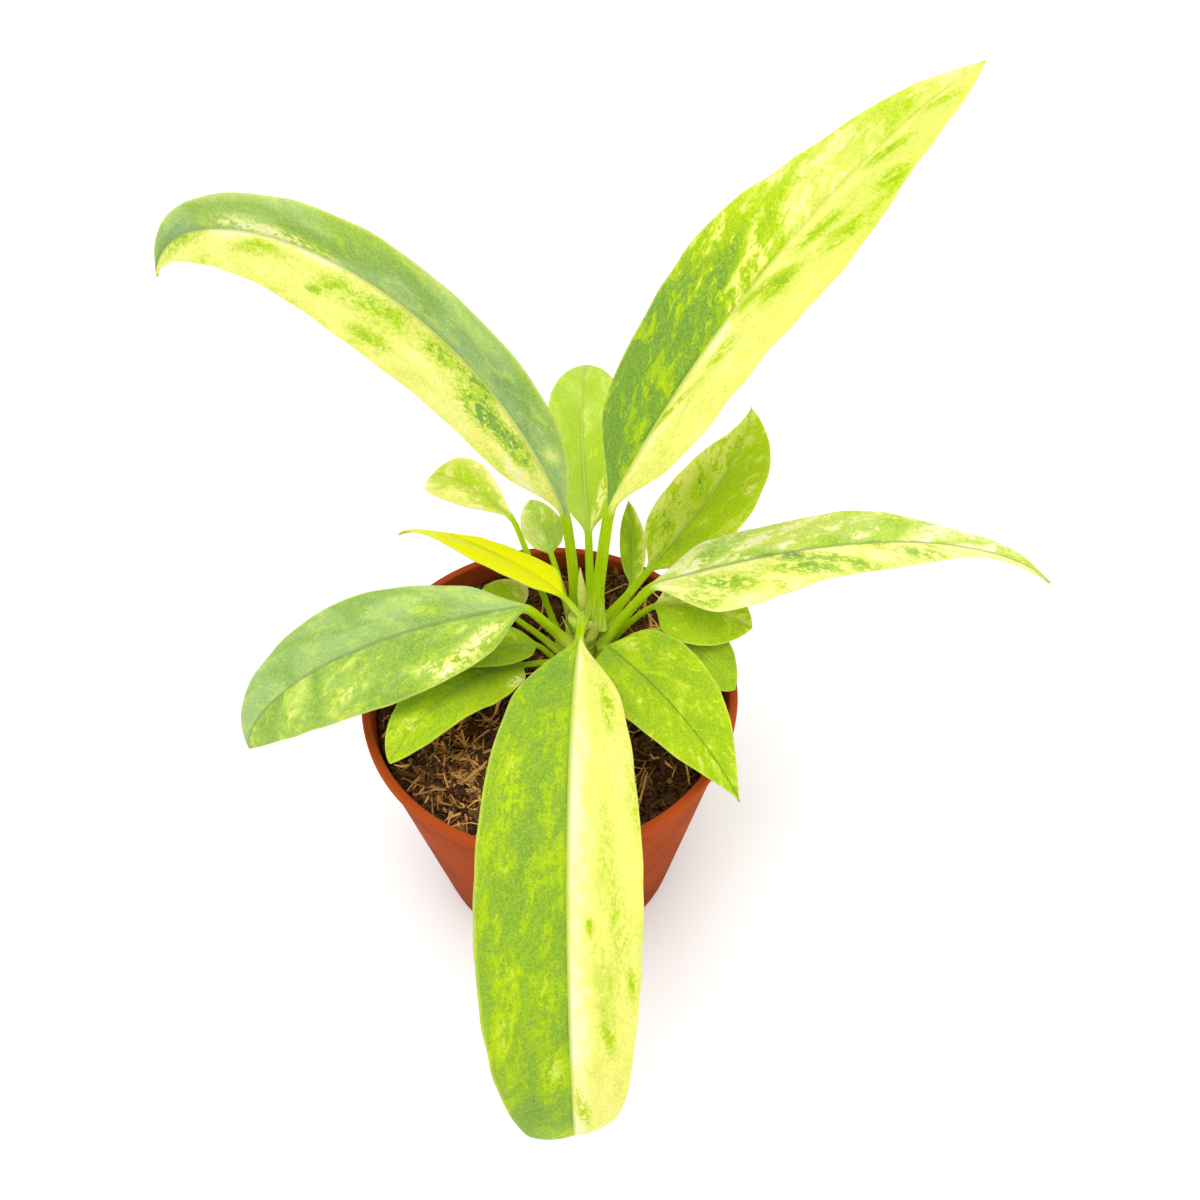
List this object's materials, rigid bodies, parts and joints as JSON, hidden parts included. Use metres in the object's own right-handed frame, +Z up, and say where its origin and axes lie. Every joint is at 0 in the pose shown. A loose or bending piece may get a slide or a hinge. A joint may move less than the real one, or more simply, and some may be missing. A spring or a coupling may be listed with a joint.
{
  "type": "potted plant",
  "caption": "Potted anthurium with long cream-and-green marbled leaves arching out of a tapered terracotta-coloured nursery pot filled with coir compost.",
  "frame": {"origin": "centre of the pot's flat base, on the surface it stands on", "axes": "+Z up out of the pot; -Y towards the viewer, the side that the long front leaf hangs over; +X to the viewer's right"},
  "size_m": [0.2731, 0.237, 0.2572],
  "materials": {
    "pot": "satin terracotta-coloured plastic",
    "soil": "loose fibrous compost",
    "stem": "green stem with paler leaf scars",
    "sheath": "pale papery sheath",
    "variegated_leaf": "smooth leaf, cream and green marbled",
    "green_leaf": "smooth lime and mid-green leaf",
    "yellow_leaf": "smooth bright yellow leaf"
  },
  "bodies": {
    "root": {"pot": "pot", "soil": "soil", "stem": "stem", "bud_sheath": "sheath", "leaf_front": "variegated_leaf", "leaf_tall_right": "variegated_leaf", "leaf_tall_left": "variegated_leaf", "leaf_yellow": "yellow_leaf", "leaf_low_right": "variegated_leaf", "leaf_low_left": "green_leaf", "leaf_back_centre": "green_leaf", "leaf_back_right": "green_leaf", "leaf_back_left": "green_leaf", "leaf_back_left_low": "green_leaf", "leaf_back_narrow": "green_leaf", "leaf_front_right": "green_leaf", "leaf_right_round": "green_leaf", "leaf_right_small": "green_leaf", "leaf_front_left": "green_leaf", "leaf_left_small": "green_leaf", "leaf_left_under": "green_leaf"}
  },
  "joints": []
}
